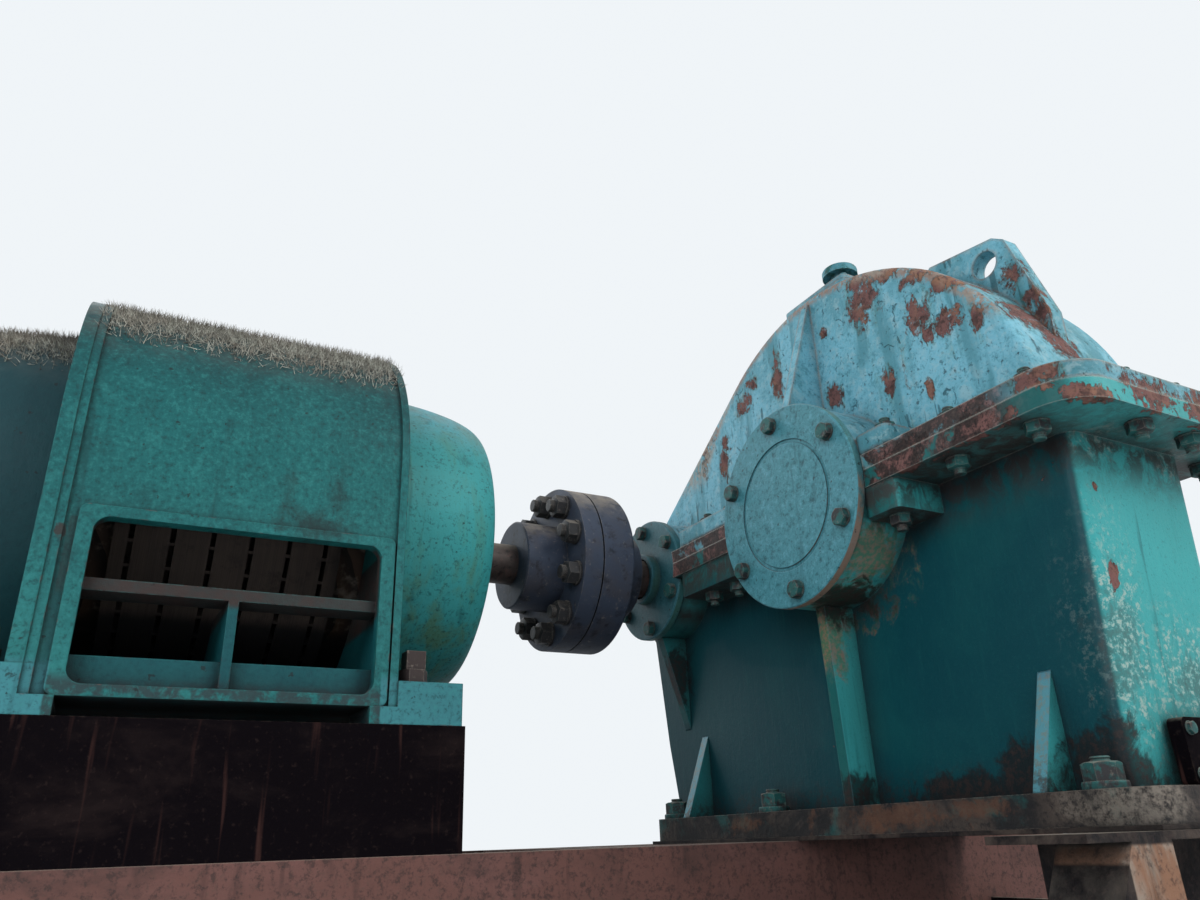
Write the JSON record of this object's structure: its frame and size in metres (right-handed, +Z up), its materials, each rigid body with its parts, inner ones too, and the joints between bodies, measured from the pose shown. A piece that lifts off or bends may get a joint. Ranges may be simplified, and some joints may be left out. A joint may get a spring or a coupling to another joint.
{
  "type": "ball mill drive unit",
  "caption": "Drive unit of a ball mill: open slip-ring motor on a pedestal, pin coupling and large single-stage gear reducer, all on a steel bed with an outrigger.",
  "frame": {"origin": "on the floor, on the underside of the bed's middle cross beam, straight below the joint of the coupling", "axes": "+X along the shafts from the motor to the reducer, +Y away from the operator's side, +Z up"},
  "size_m": [2.989, 2.133, 1.799],
  "materials": {
    "bed_steel": "red-brown paint gone to rust",
    "outrigger_steel": "dusty brown steel with rust",
    "pedestal_steel": "nearly black, oily and dusty",
    "motor_paint": "thick teal-green paint, dusty",
    "core_plates": "varnished plate packs",
    "winding_tape": "taped and varnished",
    "shaft_steel": "turned, brown with old oil",
    "coupling_iron": "turned, dark and dusty",
    "bolt_steel": "dark, with paint and rust",
    "base_paint": "teal paint, stained by oil and lime",
    "foot_steel": "thick plate, brown with oil, rust and what is left of the teal paint",
    "cap_paint": "blue-green paint, dusty",
    "cover_paint": "pale blue-green paint with rust patches"
  },
  "bodies": {
    "machine": {"bed_beam_near": "bed_steel", "bed_beam_far": "bed_steel", "bed_cross_beams": "bed_steel", "outrigger": "outrigger_steel", "motor_pedestal": "pedestal_steel", "motor_frame": "motor_paint", "motor_stator_core": "core_plates", "motor_end_windings": "winding_tape", "motor_end_shield_drive": "motor_paint", "motor_end_shield_rear": "motor_paint", "motor_bearing_cap": "motor_paint", "slip_ring_housing": "motor_paint", "motor_terminal_box": "motor_paint", "motor_lifting_eyes": "motor_paint", "reducer_base": "base_paint", "reducer_base_ribs": "base_paint", "reducer_foot_plate": "foot_steel", "reducer_cover": "cover_paint", "output_cap_blind": "cap_paint", "output_cap_open": "cap_paint", "input_cap_open": "cap_paint", "input_cap_blind": "cap_paint", "reducer_cap_bolts": "bolt_steel", "reducer_split_bolts": "bolt_steel", "reducer_foot_bolts": "bolt_steel", "motor_foot_bolts": "bolt_steel", "reducer_shim": "outrigger_steel", "inspection_cover": "cover_paint", "breather": "bolt_steel", "cleaning_cover": "pedestal_steel", "oil_fittings": "bolt_steel"},
    "drive_line": {"motor_shaft": "shaft_steel", "motor_rotor": "core_plates", "coupling_half_motor": "coupling_iron", "coupling_half_reducer": "coupling_iron", "coupling_pins": "bolt_steel", "reducer_input_shaft": "shaft_steel"},
    "output_line": {"reducer_output_shaft": "shaft_steel"}
  },
  "joints": [
    {"name": "drive_spin", "type": "hinge", "parent": "machine", "child": "drive_line", "pos_m": [0, 0, 1.125], "axis": [1, 0, 0], "continuous": true},
    {"name": "output_spin", "type": "hinge", "parent": "machine", "child": "output_line", "pos_m": [1.204, -0.7, 1.125], "axis": [1, 0, 0], "continuous": true}
  ],
  "couplings": [
    {"joint": "output_spin", "follows": "drive_spin", "ratio": -0.22124}
  ]
}
